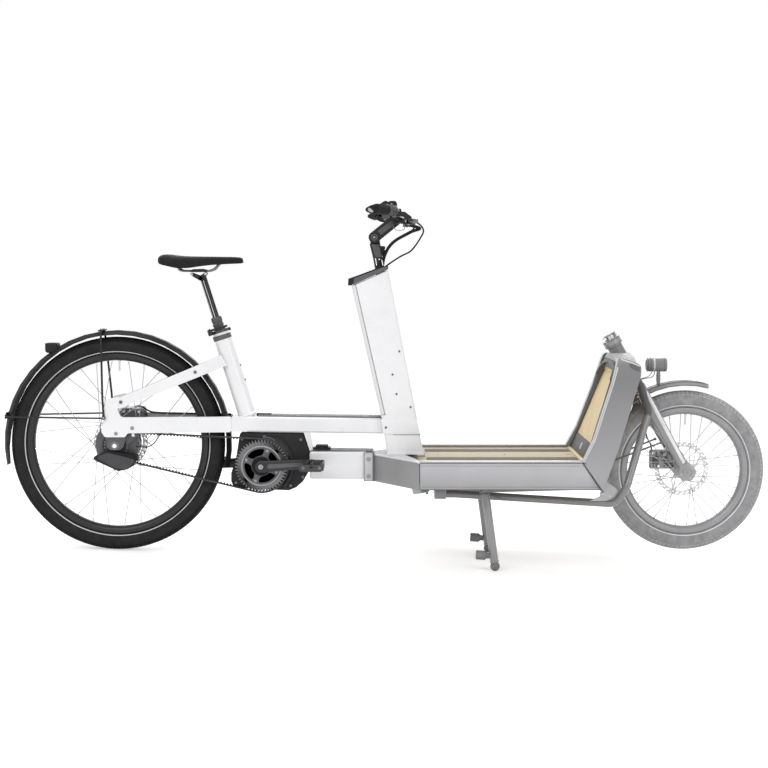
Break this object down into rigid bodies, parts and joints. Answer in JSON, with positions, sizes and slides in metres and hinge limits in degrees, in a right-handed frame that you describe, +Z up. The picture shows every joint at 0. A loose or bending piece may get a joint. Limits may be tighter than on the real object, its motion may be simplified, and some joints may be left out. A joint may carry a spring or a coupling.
{
  "type": "electric cargo bike",
  "caption": "Front-loading electric cargo bicycle: low wooden cargo deck between the steering mast and the front wheel, mid motor with belt drive, cable steering and a two-leg stand.",
  "frame": {"origin": "middle of the bounding box, on the ground", "axes": "+X forwards, +Y to the rider's left, +Z up; the bike stands on its rear wheel and its stand"},
  "size_m": [2.515, 0.679, 1.1833],
  "materials": {
    "white_paint": "satin",
    "grey_paint": "satin",
    "side_paint": "satin",
    "black_plastic": "matte",
    "dark_metal": "satin black",
    "bare_metal": "brushed",
    "grey_metal": "satin grey",
    "tyre_rubber": "matte",
    "faded_rubber": "matte",
    "grip_rubber": "matte",
    "wood": "matt varnish",
    "light_cover": "satin"
  },
  "bodies": {
    "frame": {"main_beam": "white_paint", "right_stays": "white_paint", "left_stays": "white_paint", "seat_tube": "white_paint", "seat_collar": "black_plastic", "lower_beam": "white_paint", "steering_mast": "white_paint", "mast_cap": "black_plastic", "battery": "black_plastic", "battery_cover": "white_paint", "motor_housing": "black_plastic", "deck_rear_frame": "grey_paint", "right_side_rail": "side_paint", "left_side_rail": "side_paint", "right_front_post": "grey_paint", "left_front_post": "grey_paint", "deck_floor": "wood", "stand_bracket": "grey_paint", "front_wall": "wood", "top_cover": "light_cover", "head_tube": "grey_paint", "right_lower_tube": "grey_metal", "left_lower_tube": "grey_metal", "rear_mudguard": "black_plastic", "rear_upper_stay": "dark_metal", "rear_lower_stay": "dark_metal", "rear_light": "black_plastic", "rear_axle": "bare_metal", "shift_actuator": "grey_metal", "drive_belt": "grip_rubber", "control_hoses": "grip_rubber"},
    "rear_wheel": {"rear_tyre": "tyre_rubber", "rear_rim": "dark_metal", "rear_hub": "dark_metal", "rear_rotor": "bare_metal"},
    "rear_drive": {"rear_sprocket": "grey_metal"},
    "crankset": {"right_crank": "dark_metal", "left_crank": "dark_metal", "front_sprocket": "dark_metal"},
    "right_pedal_body": {"right_pedal": "black_plastic"},
    "left_pedal_body": {"left_pedal": "black_plastic"},
    "column": {"steering_column": "dark_metal"},
    "handlebar_assembly": {"stem_arm": "dark_metal", "handlebar": "black_plastic", "right_grip": "grip_rubber", "left_grip": "grip_rubber", "display": "black_plastic"},
    "right_lever": {"right_brake_lever": "dark_metal"},
    "left_lever": {"left_brake_lever": "dark_metal"},
    "front_fork": {"fork": "grey_metal", "front_mudguard": "black_plastic", "headlamp": "dark_metal", "front_brake_hose": "grip_rubber"},
    "front_wheel": {"front_tyre": "faded_rubber", "front_rim": "grey_metal", "front_hub": "grey_metal"},
    "seat": {"seat_post": "dark_metal", "saddle": "grip_rubber"},
    "seat_release": {"seat_lever": "bare_metal"},
    "two_leg_stand": {"stand": "grey_metal"}
  },
  "joints": [
    {"name": "steer", "type": "hinge", "parent": "frame", "child": "column", "pos_m": [0.03521, 0, 0.63115], "axis": [-0.2153, 0, 0.9765], "range_deg": [-30, 30], "deforming": ["control_hoses"]},
    {"name": "stem_angle", "type": "hinge", "parent": "column", "child": "handlebar_assembly", "pos_m": [-0.05885, 0, 1.06222], "axis": [0, 1, 0], "range_deg": [-15, 20], "deforming": ["control_hoses"]},
    {"name": "right_brake", "type": "hinge", "parent": "handlebar_assembly", "child": "right_lever", "pos_m": [0.04947, -0.16, 1.11391], "axis": [-0.0337, 0, 0.9994], "range_deg": [-15, 0], "stiffness_Nm_per_rad": 1, "springref_deg": 9.74},
    {"name": "left_brake", "type": "hinge", "parent": "handlebar_assembly", "child": "left_lever", "pos_m": [0.04947, 0.16, 1.11391], "axis": [-0.0337, 0, 0.9994], "range_deg": [0, 15], "stiffness_Nm_per_rad": 1, "springref_deg": -9.74},
    {"name": "fork_steer", "type": "hinge", "parent": "frame", "child": "front_fork", "pos_m": [0.83606, 0, 0.58425], "axis": [-0.5215, 0, 0.8532], "range_deg": [-30, 30]},
    {"name": "front_wheel_spin", "type": "hinge", "parent": "front_fork", "child": "front_wheel", "pos_m": [0.99252, 0, 0.32827], "axis": [0, 1, 0], "continuous": true},
    {"name": "rear_wheel_spin", "type": "hinge", "parent": "frame", "child": "rear_wheel", "pos_m": [-0.88342, 0, 0.354], "axis": [0, 1, 0], "continuous": true},
    {"name": "crank_spin", "type": "hinge", "parent": "frame", "child": "crankset", "pos_m": [-0.40436, 0, 0.30113], "axis": [0, 1, 0], "continuous": true, "deforming": ["drive_belt"]},
    {"name": "rear_sprocket_spin", "type": "hinge", "parent": "frame", "child": "rear_drive", "pos_m": [-0.88342, 0, 0.354], "axis": [0, 1, 0], "continuous": true},
    {"name": "right_pedal_spin", "type": "hinge", "parent": "crankset", "child": "right_pedal_body", "pos_m": [-0.23516, -0.1385, 0.31752], "axis": [0, 1, 0], "continuous": true},
    {"name": "left_pedal_spin", "type": "hinge", "parent": "crankset", "child": "left_pedal_body", "pos_m": [-0.57357, 0.1385, 0.28474], "axis": [0, 1, 0], "continuous": true},
    {"name": "seat_height", "type": "slide", "parent": "frame", "child": "seat", "axis": [-0.3311, 0, 0.9436], "range_m": [-0.028, 0.1]},
    {"name": "seat_clamp_lever", "type": "hinge", "parent": "frame", "child": "seat_release", "pos_m": [-0.58486, -0.0271, 0.72774], "axis": [-0.3311, 0, 0.9436], "range_deg": [-100, 0]},
    {"name": "stand_fold", "type": "hinge", "parent": "frame", "child": "two_leg_stand", "pos_m": [0.32567, 0, 0.25323], "axis": [0, 1, 0], "range_deg": [0, 80]}
  ],
  "couplings": [
    {"joint": "fork_steer", "follows": "steer", "ratio": 1},
    {"joint": "rear_sprocket_spin", "follows": "crank_spin", "ratio": 2.0833}
  ]
}
